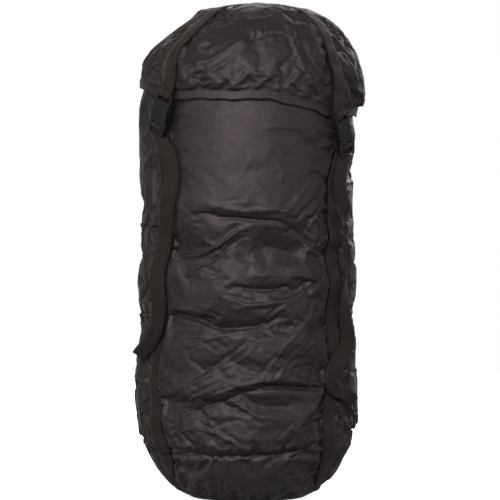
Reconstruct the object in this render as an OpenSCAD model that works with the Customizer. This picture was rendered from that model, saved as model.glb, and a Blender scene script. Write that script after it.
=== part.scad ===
// Compression sack: a round fabric sack that stands on its base, with a domed lid that four
// webbing straps and side-release buckles pull down towards the bottom cap.
// Frame: +Z up, origin at the centre of the base, the front of the sack faces -Y. Millimetres.

/* [Sack] */
// Radius of the flat base panel
base_r = 76; // [70:1:80]
// Outer radius of the side wall at the bottom seam
wall_r = 146; // [142:1:148]
// Height of the seam between the bottom cap and the side wall
seam_z = 84; // [80:1:88]
// Height of the top of the side wall
wall_top_z = 560; // [550:1:562]
// Thickness that stands for the coated fabric
fabric_t = 1; // [0.8:0.1:1.1]
// Radial gap between neighbouring bands of the side wall
band_gap = 0.4; // [0.3:0.05:0.5]

/* [Lid] */
// Height of the lower edge of the lid
lid_edge_z = 530; // [526:1:534]
// Outer radius of the lid's skirt
lid_r = 148; // [147:0.5:150]
// Height of the crown of the lid above its lower edge
lid_rise = 128; // [120:1:132]
// Height of the stitched hem round the lid's edge
hem_h = 16; // [12:1:18]

/* [Webbing and buckles] */
// Width of the webbing
webbing_w = 20; // [18:0.5:20]
// Thickness of the webbing
webbing_t = 1.4; // [1.2:0.1:1.4]
// Distance of the buckles' middle plane from the sack's axis
buckle_r = 154; // [154:0.5:158]
// Outer width of a buckle
buckle_w = 28; // [28:0.5:30]
// Thickness of a buckle
buckle_t = 8.6; // [8.4:0.1:9]

/* [Drawcord] */
// Diameter of the drawcord
cord_d = 3; // [2.5:0.1:3]
// Radius of the drawcord's ring in the mouth hem
cord_ring_r = 130; // [129:0.5:131]

/* [Hidden] */
$fn = 48;
CORNERS = ["front_left", "front_right", "back_left", "back_right"];

// Colours
FABRIC = [0.20, 0.185, 0.19];
FABRIC_DARK = [0.16, 0.15, 0.155];
WEBBING = [0.15, 0.14, 0.14];
PLASTIC = [0.10, 0.10, 0.105];
METAL = [0.35, 0.34, 0.33];

// Azimuths are measured round the axis from the front (-Y) towards +X.
LID_STRAP_AZ = [-43.5, 51, -129, 136.5];
SIDE_STRAP_AZ = [-54, 53, -131, 138];
BASE_STRAP_AZ = [-60, 56, -131, 138];
// Height of the bar that each socket hangs from, and the lean of each buckle from upright
BAR_Z = [532, 507, 515, 517];
BUCKLE_LEAN = [21, -17, 7, -6];

// The side wall gathers as the lid comes down, so it is made of bands that slide into each other.
BANDS = 5;
BAND_LAP = 4;
band_h = (wall_top_z - seam_z) / BANDS;
band_step = fabric_t + band_gap;

// Places along a buckle, measured from the plane where the plug meets the socket, +up
BAR_V = 33;
SOCKET_BODY_V = 25;
LOCK_WALL_V = 7;
WINDOW_TOP_V = 19.5;
ARM_PIVOT = [8.3, 1.0];
MIDDLE_BAR_V = -9;
BOTTOM_BAR_V = -18.5;
MIDDLE_BAR_R = 1.6;
BOTTOM_BAR_R = 1.7;
CAVITY_HALF_W = 11.9;
CAVITY_HALF_T = 2.7;

// Cord lock, hanging inside the back of the mouth
LOCK_Y = 120;
LOCK_Z = 537.6;
EYELET_Z = 575;
EYELET_R = 4.7;
STRAND_X = 1.8;

// ---------- Profiles and paths ----------

// Outer profiles as [radius, height], from the bottom up
CAP_PROFILE = [
    [base_r + 1, 0.4], [base_r + 20, 12], [base_r + 36, 28], [wall_r - 21, 48], [wall_r - 8, 66],
    [wall_r, seam_z - 2], [wall_r, seam_z]
];
LID_PROFILE = [
    [lid_r, lid_edge_z], [lid_r - 0.5, lid_edge_z + 0.15 * lid_rise], [lid_r - 7, lid_edge_z + 0.36 * lid_rise],
    [lid_r - 19, lid_edge_z + 0.56 * lid_rise], [lid_r - 37, lid_edge_z + 0.73 * lid_rise],
    [lid_r - 61, lid_edge_z + 0.87 * lid_rise], [lid_r - 92, lid_edge_z + 0.955 * lid_rise],
    [lid_r - 122, lid_edge_z + 0.993 * lid_rise], [0, lid_edge_z + lid_rise]
];

function unit(v) = v / norm(v);
function left_of(v) = [-v[1], v[0]];
function last(p) = len(p) - 1;

// The normal at a point of a 2D path that keeps the path's spacing even, pointing right of its direction
function corner_normal(p, i) =
    let (
        before = -left_of(unit(p[max(i, 1)] - p[max(i, 1) - 1])),
        after = -left_of(unit(p[min(i, last(p) - 1) + 1] - p[min(i, last(p) - 1)])),
        middle = unit(before + after)
    ) middle / (middle * after);
function moved_out(p, d) = [for (i = [0:last(p)]) p[i] + d * corner_normal(p, i)];
function reversed(p) = [for (i = [last(p):-1:0]) p[i]];
function band_points(p, inner, outer) = concat(moved_out(p, inner), reversed(moved_out(p, outer)));
function mirrored(p) = [for (q = reversed(p)) [-q[0], q[1]]];

function polar(az, r, z) = [r * sin(az), -r * cos(az), z];
function along_wall(az) = [cos(az), sin(az), 0];

// A solid ribbon of rectangular section along points c, with its width along w at each point
function ribbon_ring(c, w, i) =
    let (
        run = unit(c[min(i + 1, last(c))] - c[max(i - 1, 0)]),
        side = unit(w[i] - (w[i] * run) * run) * webbing_w / 2,
        face = unit(cross(run, side)) * webbing_t / 2
    ) [c[i] - side - face, c[i] + side - face, c[i] + side + face, c[i] - side + face];

// The triangles that join n rings of k points into a closed solid
function sweep_faces(n, k) = concat(
    [for (i = [1:k - 2]) [0, i, i + 1]],
    [for (r = [0:n - 2], s = [0:k - 1], half = [0, 1])
        let (a = r * k + s, b = r * k + (s + 1) % k)
        half == 0 ? [a, a + k, b] : [b, a + k, b + k]],
    [for (i = [1:k - 2]) [(n - 1) * k, (n - 1) * k + i + 1, (n - 1) * k + i]]
);

module ribbon(c, w) {
    polyhedron(points = [for (i = [0:last(c)]) each ribbon_ring(c, w, i)], faces = sweep_faces(len(c), 4));
}

// One ring of k points round point i of a round cord; the section is kept square to the cord
function cord_ring(c, i, r, k) =
    let (
        run = unit(c[min(i + 1, last(c))] - c[max(i - 1, 0)]),
        side = unit(cross(abs(run[2]) > 0.9 ? [1, 0, 0] : [0, 0, 1], run)),
        up = cross(run, side)
    ) [for (s = [0:k - 1]) c[i] + r * (cos(-360 * s / k) * side + sin(-360 * s / k) * up)];

// ---------- Placing ----------

module at_azimuth(az) {
    rotate([0, 0, az]) children();
}

// A flat strip cut to a [radius, height] outline, standing in the plane at that azimuth
module radial_strip(az, width, points) {
    rotate([0, 0, az - 90]) rotate([90, 0, 0]) linear_extrude(width, center = true) polygon(points);
}

// Puts children, drawn with -Y outwards and heights measured from the plug's shoulder, on a corner's buckle
module on_buckle(i) {
    at_azimuth(LID_STRAP_AZ[i]) translate([0, -buckle_r, BAR_Z[i]])
        rotate([0, BUCKLE_LEAN[i], 0]) translate([0, 0, -BAR_V]) children();
}

// The same placing for a point [sideways, outwards, up]
function buckle_point(i, p) =
    let (
        lean = BUCKLE_LEAN[i],
        az = LID_STRAP_AZ[i],
        up = p[2] - BAR_V,
        x = p[0] * cos(lean) + up * sin(lean),
        y = -p[1] - buckle_r,
        z = -p[0] * sin(lean) + up * cos(lean) + BAR_Z[i]
    ) [x * cos(az) - y * sin(az), x * sin(az) + y * cos(az), z];

// A bar along X with a round section
module cross_bar(v, r, length) {
    translate([0, 0, v]) rotate([0, 90, 0]) cylinder(r = r, h = length, center = true);
}

module box(x, y, z) {
    translate([x[0], y[0], z[0]]) cube([x[1] - x[0], y[1] - y[0], z[1] - z[0]]);
}

// ---------- Sack ----------

module base_panel() {
    color(FABRIC_DARK) cylinder(r = base_r, h = 1.2);
}

module bottom_cap() {
    color(FABRIC) rotate_extrude() polygon(band_points(CAP_PROFILE, -fabric_t, 0));
}

// Band k of the side wall, counted from the bottom seam; each one slides inside the one below
module side_wall(k) {
    outer = wall_r - k * band_step;
    bottom = seam_z + k * band_h - (k > 0 ? BAND_LAP : 0);
    top = seam_z + (k + 1) * band_h;
    color(FABRIC) rotate_extrude()
        translate([outer - fabric_t, bottom]) square([fabric_t, top - bottom]);
}

// The folded channel round the mouth, hollow for the drawcord, with a slit for the eyelet at the back
module mouth_hem() {
    r_top = wall_r - (BANDS - 1) * band_step;
    color(FABRIC_DARK) difference() {
        rotate_extrude() difference() {
            polygon([
                [cord_ring_r - 4.2, EYELET_Z - 7], [cord_ring_r + 4.2, EYELET_Z - 7], [r_top - fabric_t, wall_top_z],
                [r_top, wall_top_z], [r_top, wall_top_z + 1], [cord_ring_r + 5, EYELET_Z - 4],
                [cord_ring_r + 4.2, EYELET_Z + 7], [cord_ring_r - 4.2, EYELET_Z + 7]
            ]);
            translate([cord_ring_r - 3.2, EYELET_Z - 6]) square([6.4, 12]);
        }
        translate([0, cord_ring_r - 8, EYELET_Z]) rotate([-90, 0, 0]) cylinder(r = EYELET_R + 0.7, h = 7);
    }
}

// Metal eyelet: a short tube through the hem's inner wall, with a flange on the inside of the sack
module cord_eyelet() {
    color(METAL) translate([0, cord_ring_r - 5.6, EYELET_Z]) rotate([-90, 0, 0]) rotate_extrude()
        polygon([
            [EYELET_R, 0], [EYELET_R + 2.8, 0], [EYELET_R + 2.8, 0.6], [EYELET_R + 2.2, 1.2],
            [EYELET_R + 0.6, 1.2], [EYELET_R + 0.6, 2.6], [EYELET_R, 2.6]
        ]);
}

// Half of the drawcord's route, from the knot up through the eyelet and round to the front
CORD_HALF = concat(
    [for (p = [[0, 0, -44], [0, 0, -34], [0, 0, -22], [0, 0.3, -13], [0, 1.5, -6.5], [0.2, 4.2, -2], [0.9, 7.2, -0.3]])
        [STRAND_X + p[0], LOCK_Y + p[1], EYELET_Z + p[2]]],
    [[4.6, cord_ring_r - 1.3, EYELET_Z], [9, cord_ring_r - 0.5, EYELET_Z]],
    [for (a = [7:6.653:180]) [cord_ring_r * sin(a), cord_ring_r * cos(a), EYELET_Z]]
);

module drawcord() {
    route = concat(CORD_HALF, [for (p = reversed(CORD_HALF)) [-p[0], p[1], p[2]]]);
    sides = 8;
    clean = [for (i = [0:last(route)]) if (i == 0 || norm(route[i] - route[i - 1]) > 0.5) route[i]];
    color(WEBBING) polyhedron(
        points = [for (i = [0:last(clean)]) each cord_ring(clean, i, cord_d / 2, sides)],
        faces = sweep_faces(len(clean), sides)
    );
}

module cord_end_knot() {
    color(WEBBING) translate([0, LOCK_Y, EYELET_Z - 44.1]) difference() {
        translate([0, 0, -3.2]) sphere(r = 4.6);
        box([-6, 6], [-6, 6], [0, 6]);
    }
}

module cord_lock_barrel() {
    color(PLASTIC) translate([0, LOCK_Y, LOCK_Z]) difference() {
        translate([-13, 0, 0]) rotate([0, 90, 0]) cylinder(r = 6.4, h = 22);
        translate([-12, 0, 0]) rotate([0, 90, 0]) cylinder(r = 4.6, h = 22);
        box([-3.8, 3.8], [-2, 2], [-8, 8]);
    }
}

module cord_lock_plunger() {
    color(PLASTIC) translate([0, LOCK_Y, LOCK_Z]) difference() {
        translate([-5.5, 0, 0]) rotate([0, 90, 0]) cylinder(r = 4.3, h = 20);
        box([-3.6, 7.8], [-2.1, 2.1], [-8, 8]);
    }
}

module cord_lock_spring() {
    turns = 4;
    steps = 12;
    length = 6.1;
    wire_r = 0.35;
    coil = [for (i = [0:turns * steps])
        let (a = 360 * i / steps)
        [-11.6 + wire_r + (length - 2 * wire_r) * i / (turns * steps), LOCK_Y + 3.2 * cos(a), LOCK_Z + 3.2 * sin(a)]];
    color(METAL) polyhedron(
        points = [for (i = [0:last(coil)]) each cord_ring(coil, i, wire_r, 6)],
        faces = sweep_faces(len(coil), 6)
    );
}

// ---------- Lid ----------

module lid_shell() {
    inner = moved_out(LID_PROFILE, -fabric_t);
    closed = [for (i = [0:last(inner)]) i == last(inner) ? [0, LID_PROFILE[i][1] - fabric_t] : inner[i]];
    color(FABRIC) rotate_extrude() polygon(concat(LID_PROFILE, reversed(closed)));
}

module lid_hem() {
    color(FABRIC_DARK) rotate_extrude()
        translate([lid_r + 0.1, lid_edge_z - 0.5]) square([0.9, hem_h + 0.5]);
}

// One side of a lid strap's middle line, from the buckle's neck up to near the crown
function strap_side(bar_z) = concat(
    [[buckle_r, bar_z + 10], [buckle_r, bar_z + 13], [buckle_r - 2.5, lid_edge_z + 24]],
    [for (i = [2:last(LID_PROFILE) - 1]) moved_out(LID_PROFILE, 0.4 + webbing_t / 2)[i]]
);

// The webbing loop that holds a socket's bar, with its sewn neck
module strap_loop(i) {
    on_buckle(i) translate([0, 0, BAR_V]) rotate([90, 0, 90]) linear_extrude(webbing_w, center = true)
        difference() {
            union() {
                circle(r = 3.5);
                translate([-1.6, 0]) square([3.2, 15]);
            }
            circle(r = 2.05);
        }
}

// A strap over the crown between two corners; lift raises it where it crosses over the other strap
module lid_strap(i, j, lift) {
    crown = lid_edge_z + lid_rise + 0.4 + webbing_t / 2;
    middle = concat(strap_side(BAR_Z[i]), lift > 0 ? [[13, crown + lift], [-13, crown + lift]] : [[0, crown]],
        mirrored(strap_side(BAR_Z[j])));
    color(WEBBING) union() {
        radial_strip(LID_STRAP_AZ[i], webbing_w, band_points(middle, -webbing_t / 2, webbing_t / 2));
        strap_loop(i);
        strap_loop(j);
    }
}

// ---------- Straps down the side ----------

// Webbing sewn down the bottom cap, from the base seam to the bottom seam
module base_strap(i) {
    path = concat([[base_r + 5, 3.1]], [for (k = [1:last(CAP_PROFILE)]) CAP_PROFILE[k]]);
    color(WEBBING) radial_strip(BASE_STRAP_AZ[i], webbing_w, band_points(path, 0.4, 0.4 + webbing_t));
}

// The pulled side of an adjustable strap, from the bottom seam to below its buckle
module side_strap(i) {
    top = buckle_point(i, [0, 0, BOTTOM_BAR_V - 6])[2];
    gap = 0.6;
    color(WEBBING) at_azimuth(SIDE_STRAP_AZ[i])
        box([-webbing_w / 2, webbing_w / 2], [-wall_r - gap - webbing_t, -wall_r - gap], [seam_z + 1.5, top]);
}

// Webbing through the plug as [outwards, up]: up behind both bars, over the middle bar, back behind the bottom bar
PLUG_WRAP = concat(
    [[-4.3, -26], [-4.3, -18], [-4.2, -12.5], [-3.5, -10.5]],
    [for (a = [180:-30:-30]) [2.5 * cos(a), MIDDLE_BAR_V + 2.5 * sin(a)]],
    [[0.6, -12.2], [-1.8, -14], [-2.7, -16.2], [-2.75, -20]]
);

// Free ends below the buckles as [azimuth, radius, height]
TAIL_ROUTES = [
    [[-51.5, 151.4, 471], [-49, 153, 455], [-45, 154, 440], [-42, 154, 420], [-42.5, 154, 398], [-45, 154, 368],
        [-47, 154, 344], [-50, 154.5, 314], [-51, 154.5, 260], [-55, 155, 229], [-60.5, 156, 205], [-68, 157, 188]],
    [[57.8, 151.4, 445], [57, 153, 430], [56, 154, 405], [56, 155, 385], [57, 156, 365], [58, 157, 337],
        [58.5, 157, 310], [57.5, 156, 277], [58, 156, 250], [59.5, 157, 223], [58, 157, 206], [51, 157, 185],
        [47, 158, 168], [50, 160, 152], [56, 161, 137], [62, 161, 124]],
    [[-131, 153, 452], [-132, 153.5, 420], [-134, 154, 370], [-133, 154, 310], [-130, 154, 260], [-128, 155, 225]],
    [[138, 153, 454], [139, 153.5, 420], [138, 154, 370], [136, 154, 320], [137, 154.5, 270], [140, 155, 240]]
];

module strap_tail(i) {
    wrap = [for (p = PLUG_WRAP) buckle_point(i, [0, p[0], p[1]])];
    wrap_side = buckle_point(i, [1, 0, 0]) - buckle_point(i, [0, 0, 0]);
    hang = [for (p = TAIL_ROUTES[i]) polar(p[0], p[1], p[2])];
    color(WEBBING) ribbon(
        concat(wrap, hang),
        concat([for (p = wrap) wrap_side], [for (p = TAIL_ROUTES[i]) along_wall(p[0])])
    );
}

// ---------- Buckles ----------

// A plate standing in the XZ plane, cut to a [sideways, up] outline
module plate(thickness) {
    rotate([90, 0, 0]) linear_extrude(thickness, center = true) children();
}

module rounded_outline(half_w, low, high, r) {
    translate([-half_w, low + r]) square([2 * half_w, high - low - 2 * r]);
    translate([-half_w + r, low]) square([2 * (half_w - r), high - low]);
    for (x = [-1, 1], y = [low + r, high - r])
        translate([x * (half_w - r), y]) circle(r = r);
}

module buckle_socket(i) {
    half = buckle_w / 2;
    color(PLASTIC) on_buckle(i) difference() {
        union() {
            plate(buckle_t) difference() {
                rounded_outline(half, 0, SOCKET_BODY_V, 2);
                for (side = [-1, 1]) translate([side * (half + 23), 13.5]) circle(r = 24);
            }
            plate(5.4) rounded_outline(half, SOCKET_BODY_V - 6, BAR_V + 1.8, 1.8);
            cross_bar(BAR_V, 1.8, buckle_w - 4);
        }
        box([-CAVITY_HALF_W, CAVITY_HALF_W], [-CAVITY_HALF_T, CAVITY_HALF_T], [-1, WINDOW_TOP_V + 1]);
        box([-half - 2, half + 2], [-CAVITY_HALF_T, CAVITY_HALF_T], [LOCK_WALL_V, WINDOW_TOP_V]);
        difference() {
            box([-10.6, 10.6], [-10, 10], [SOCKET_BODY_V + 1, BAR_V + 5]);
            cross_bar(BAR_V, 1.8, buckle_w);
        }
    }
}

module buckle_plug(i) {
    half = buckle_w / 2;
    color(PLASTIC) on_buckle(i) {
        union() {
            plate(8) rounded_outline(half, -3.2, -0.2, 1);
            for (side = [-1, 1]) scale([side, 1, 1])
                box([10.6, half], [-2.4, 2.4], [BOTTOM_BAR_V, -2]);
            plate(3.2) rounded_outline(2.2, -2, 18.5, 1.6);
            cross_bar(MIDDLE_BAR_V, MIDDLE_BAR_R, buckle_w - 4);
            cross_bar(BOTTOM_BAR_V, BOTTOM_BAR_R, buckle_w - 0.4);
        }
    }
}

// One springy arm of a plug with its thumb pad; side is -1 for the left one, seen from outside
module latch_arm(i, side) {
    reach = buckle_w / 2;
    color(PLASTIC) on_buckle(i) scale([side, 1, 1]) plate(4.4) {
        translate(ARM_PIVOT) circle(r = 0.95);
        polygon([
            [ARM_PIVOT[0] - 0.95, ARM_PIVOT[1]], [ARM_PIVOT[0] + 0.95, ARM_PIVOT[1]], [9.3, 6.2], [9.9, 7.6],
            [reach - 0.6, LOCK_WALL_V + 0.6], [reach - 0.1, 9.5], [reach - 0.3, 13], [reach - 1.4, 16.5],
            [10.8, 19], [8.8, 19.2], [7.9, 17], [7.3, 12]
        ]);
    }
}

// ---------- Assembly ----------

base_panel();
bottom_cap();
for (k = [0:BANDS - 1])
    side_wall(k);
mouth_hem();
cord_eyelet();
drawcord();
cord_end_knot();
cord_lock_barrel();
cord_lock_plunger();
cord_lock_spring();
lid_shell();
lid_hem();
lid_strap(0, 3, 0);  // lid_strap_a
lid_strap(1, 2, webbing_t + 0.6);  // lid_strap_b
for (i = [0:3]) {
    base_strap(i);
    side_strap(i);
    strap_tail(i);
    buckle_socket(i);
    buckle_plug(i);
    latch_arm(i, -1);
    latch_arm(i, 1);
}
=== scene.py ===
"""Looks of the compression sack: ripstop wall and lid, webbing, buckles, cord lock and the drawn mouth.

Lengths in this file are millimetres and angles are degrees unless a name ends in _m; points are turned
into metres when a mesh is made. An azimuth is measured round the sack from its front (-Y) towards +X.
A place on the picture side is (x, z), as seen from straight ahead of the side that is being worked on.
"""

import math

import bpy
import numpy as np
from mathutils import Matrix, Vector, noise
from mathutils.bvhtree import BVHTree


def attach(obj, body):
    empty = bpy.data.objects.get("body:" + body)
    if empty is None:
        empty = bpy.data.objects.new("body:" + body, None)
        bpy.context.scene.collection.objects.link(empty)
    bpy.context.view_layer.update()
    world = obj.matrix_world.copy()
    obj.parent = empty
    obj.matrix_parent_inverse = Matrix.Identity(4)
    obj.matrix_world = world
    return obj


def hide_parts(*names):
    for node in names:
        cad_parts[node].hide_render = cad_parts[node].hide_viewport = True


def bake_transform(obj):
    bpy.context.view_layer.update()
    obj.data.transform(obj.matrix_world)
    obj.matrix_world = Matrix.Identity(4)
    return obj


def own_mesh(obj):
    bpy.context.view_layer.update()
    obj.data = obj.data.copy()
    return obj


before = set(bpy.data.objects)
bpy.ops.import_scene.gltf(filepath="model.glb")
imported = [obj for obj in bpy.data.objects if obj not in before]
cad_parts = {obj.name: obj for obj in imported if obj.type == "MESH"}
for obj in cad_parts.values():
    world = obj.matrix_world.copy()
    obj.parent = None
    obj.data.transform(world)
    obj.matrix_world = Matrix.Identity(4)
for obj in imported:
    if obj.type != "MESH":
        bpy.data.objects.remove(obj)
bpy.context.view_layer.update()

MM = 0.001
CORNERS = ["front_left", "front_right", "back_left", "back_right"]


# ---------------------------------------------------------------- small maths

def smooth(x, low, high):
    """0 below low, 1 above high, and an even S-curve between; high may be the smaller one."""
    t = np.clip((np.asarray(x, float) - low) / (high - low), 0, 1)
    return t * t * (3 - 2 * t)


def bump(x, centre, width):
    return np.exp(-(((np.asarray(x, float) - centre) / width) ** 2))


def turned(a):
    """An angle brought between -180 and 180."""
    return (np.asarray(a, float) + 180) % 360 - 180


def round_curve(points, x):
    """A smooth curve through (x, value) points, read at x; monotone between points, level past the ends."""
    px = np.array([p[0] for p in points], float)
    py = np.array([p[1] for p in points], float)
    slope = np.diff(py) / np.diff(px)
    before, after = slope[:-1], slope[1:]
    inner = np.where(before * after > 0, 2 * before * after / (before + after + 1e-12), 0)
    m = np.concatenate([[slope[0]], inner, [slope[-1]]])
    x = np.clip(np.asarray(x, float), px[0], px[-1])
    k = np.clip(np.searchsorted(px, x) - 1, 0, len(px) - 2)
    h = px[k + 1] - px[k]
    t = (x - px[k]) / h
    return (
        (2 * t**3 - 3 * t**2 + 1) * py[k] + (t**3 - 2 * t**2 + t) * h * m[k]
        + (-2 * t**3 + 3 * t**2) * py[k + 1] + (t**3 - t**2) * h * m[k + 1]
    )


def ring_curve(points, a):
    """round_curve through (azimuth, value) points that closes on itself after 360 degrees."""
    wrapped = [(p[0] - 360, p[1]) for p in points] + list(points) + [(p[0] + 360, p[1]) for p in points]
    return round_curve(wrapped, turned(a))


def lengths_along(points):
    """Length along a line of points, from its start to each of them."""
    return np.concatenate([[0], np.cumsum(np.linalg.norm(np.diff(points, axis=0), axis=1))])


def spline(points, step):
    """Even points about step apart along a smooth curve through the given ones, of any dimension."""
    p = np.array(points, float)
    before = np.vstack([2 * p[0] - p[1], p, 2 * p[-1] - p[-2]])
    fine = []
    for k in range(len(p) - 1):
        a, b, c, d = before[k:k + 4]
        t = np.linspace(0, 1, 24, endpoint=False)[:, None]
        square, cube = 2 * a - 5 * b + 4 * c - d, 3 * b - a - 3 * c + d
        fine.append(0.5 * (2 * b + (c - a) * t + square * t**2 + cube * t**3))
    fine = np.vstack(fine + [p[-1:]])
    along = lengths_along(fine)
    even = np.linspace(0, along[-1], max(2, int(along[-1] / step) + 1))
    return np.stack([np.interp(even, along, fine[:, k]) for k in range(p.shape[1])], axis=1)


def polar(a, r, z):
    a = np.radians(a)
    return np.stack([r * np.sin(a), -r * np.cos(a), z + 0 * a], axis=-1)


def lumps(points, size, seed, octaves=2):
    """Smooth noise between about -1 and 1 at each point; size is one lump's width."""
    shift = Vector((seed * 7.31, seed * 3.17, seed * 5.71))
    values = np.zeros(len(points))
    for k in range(octaves):
        f = 2**k / size
        values += np.array([noise.noise(Vector(p) * f + shift) for p in points]) / 2**k
    return values


# ---------------------------------------------------------------- meshes

def placed(name, data):
    """A new object in the scene."""
    obj = bpy.data.objects.new(name, data)
    bpy.context.scene.collection.objects.link(obj)
    return obj


def add_mesh(name, verts, faces, uvs=None, material=None):
    """A mesh object from points in millimetres; uvs has one pair for each point."""
    mesh = bpy.data.meshes.new(name)
    mesh.from_pydata((np.asarray(verts, float) * MM).tolist(), [], [tuple(int(i) for i in f) for f in faces])
    mesh.validate()
    if uvs is not None:
        layer = mesh.uv_layers.new(name="cloth")
        index = np.zeros(len(mesh.loops), int)
        mesh.loops.foreach_get("vertex_index", index)
        layer.data.foreach_set("uv", (np.asarray(uvs, float)[index] * MM).ravel())
    mesh.polygons.foreach_set("use_smooth", [True] * len(mesh.polygons))
    if material:
        mesh.materials.append(material)
    return placed(name, mesh)


def grid_faces(rows, columns, wrap):
    """Quads between the points of a grid stored row by row; wrap joins the last column to the first."""
    last = columns if wrap else columns - 1
    r, c = np.meshgrid(np.arange(rows - 1), np.arange(last), indexing="ij")
    r, c = r.ravel(), c.ravel()
    d = (c + 1) % columns
    return np.stack([r * columns + c, r * columns + d, (r + 1) * columns + d, (r + 1) * columns + c], axis=1)


def ring_faces(rows, columns):
    """Quads of a grid that closes on itself both ways."""
    last = (rows - 1) * columns
    closing = [(last + k, last + (k + 1) % columns, (k + 1) % columns, k) for k in range(columns)]
    return [tuple(f) for f in grid_faces(rows, columns, True)] + closing


def rod_faces(rings, sides):
    """Quads of a rod stored ring by ring, and a face over each end."""
    faces = [tuple(f) for f in grid_faces(rings, sides, True)]
    faces.append(tuple(range(sides - 1, -1, -1)))
    faces.append(tuple((rings - 1) * sides + k for k in range(sides)))
    return faces


def unit_rows(v):
    return v / np.maximum(np.linalg.norm(v, axis=-1, keepdims=True), 1e-9)


def strip_axes(centre, across):
    """The ways along and across a strip at each point of its middle line, square to each other."""
    run = unit_rows(np.gradient(centre, axis=0))
    return run, unit_rows(across - (across * run).sum(1, keepdims=True) * run)


def ribbon_mesh(name, centre, across, width, thick, material):
    """A webbing strip along centre, its width along across; closed, with rounded edges and square ends."""
    run, side = strip_axes(centre, across)
    face = unit_rows(np.cross(run, side))
    edge = thick / 2
    outline = [(w, 0, 1) for w in (-1, -0.5, 0, 0.5, 1)] + [(1, 1, 0)]
    outline += [(w, 0, -1) for w in (1, 0.5, 0, -0.5, -1)] + [(-1, 1, 0)]
    along = lengths_along(centre)
    rings = []
    uvs = []
    for w, rim, sign in outline:
        reach = (width / 2 - (0 if rim else edge * 0.55)) * w
        rings.append(centre + side * reach + face * (sign * edge))
        uvs.append(np.stack([np.full(len(centre), reach), along], axis=1))
    verts = np.stack(rings, axis=1).reshape(-1, 3)
    uv = np.stack(uvs, axis=1).reshape(-1, 2)
    return add_mesh(name, verts, rod_faces(len(centre), len(outline)), uv, material)


def tube_mesh(name, centre, radius, sides, material, closed=False):
    """A round cord along centre."""
    centre = np.asarray(centre, float)
    if closed:
        run = unit_rows(np.roll(centre, -1, axis=0) - np.roll(centre, 1, axis=0))
    else:
        run = unit_rows(np.gradient(centre, axis=0))
    lead = np.cross(run[0], [0.0, 0.0, 1.0] if abs(run[0][2]) < 0.9 else [1.0, 0.0, 0.0])
    leads = []
    for r in run:
        lead = lead - r * float(np.dot(lead, r))
        lead = lead / np.linalg.norm(lead)
        leads.append(lead)
    leads = np.array(leads)
    other = np.cross(run, leads)
    turn = np.linspace(0, 2 * math.pi, sides, endpoint=False)
    rings = [centre + radius * (math.cos(t) * leads + math.sin(t) * other) for t in turn]
    verts = np.stack(rings, axis=1).reshape(-1, 3)
    uv = np.stack([np.tile(turn * radius, (len(centre), 1)),
                   np.repeat(lengths_along(centre)[:, None], sides, axis=1)], axis=2).reshape(-1, 2)
    faces = (ring_faces if closed else rod_faces)(len(centre), sides)
    return add_mesh(name, verts, faces, uv, material)


# ---------------------------------------------------------------- materials

def new_material(name, colour, rough):
    mat = bpy.data.materials.new(name)
    mat.use_nodes = True
    shader = mat.node_tree.nodes["Principled BSDF"]
    shader.inputs["Base Color"].default_value = (*colour, 1)
    shader.inputs["Roughness"].default_value = rough
    return mat, shader


def feed(mat, target, values):
    """Sets a node's inputs, each to another node's output or to a constant."""
    for key, value in values.items():
        if isinstance(value, bpy.types.NodeSocket):
            mat.node_tree.links.new(value, target.inputs[key])
        else:
            target.inputs[key].default_value = value


def node(mat, kind, inputs=None, **settings):
    made = mat.node_tree.nodes.new(kind)
    for key, value in settings.items():
        setattr(made, key, value)
    feed(mat, made, inputs or {})
    return made


def maths(mat, operation, a, b):
    return node(mat, "ShaderNodeMath", {0: a, 1: b}, operation=operation).outputs[0]


def mixed(mat, factor, dark, light):
    """A colour between two, as the factor says."""
    dark, light = (c if isinstance(c, bpy.types.NodeSocket) else (*c, 1) for c in (dark, light))
    return node(mat, "ShaderNodeMix", {0: factor, 6: dark, 7: light}, data_type="RGBA").outputs[2]


def stretched(mat, factor, low, high, start=0.0, end=1.0):
    """A factor that runs from start to end brought to run from low to high."""
    return node(mat, "ShaderNodeMapRange", {0: factor, 1: start, 2: end, 3: low, 4: high}).outputs[0]


def clouds(mat, place, scale, detail, more=None, **settings):
    """Noise between 0 and 1; place is where it is read."""
    inputs = {"Vector": place, "Scale": scale, "Detail": detail, **(more or {})}
    return node(mat, "ShaderNodeTexNoise", inputs, **settings).outputs[0]


def relief(mat, height, strength):
    """A bump from a height in metres."""
    return node(mat, "ShaderNodeBump", {"Height": height, "Strength": strength, "Distance": 1.0}).outputs[0]


def object_place(mat):
    return node(mat, "ShaderNodeTexCoord").outputs["Object"]


def cloth_place(mat):
    """The two lengths of the cloth pattern, in metres; on webbing and cord they run across and along it."""
    uv = node(mat, "ShaderNodeUVMap", uv_map="cloth").outputs[0]
    split = node(mat, "ShaderNodeSeparateXYZ", {0: uv})
    return split.outputs["X"], split.outputs["Y"]


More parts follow.
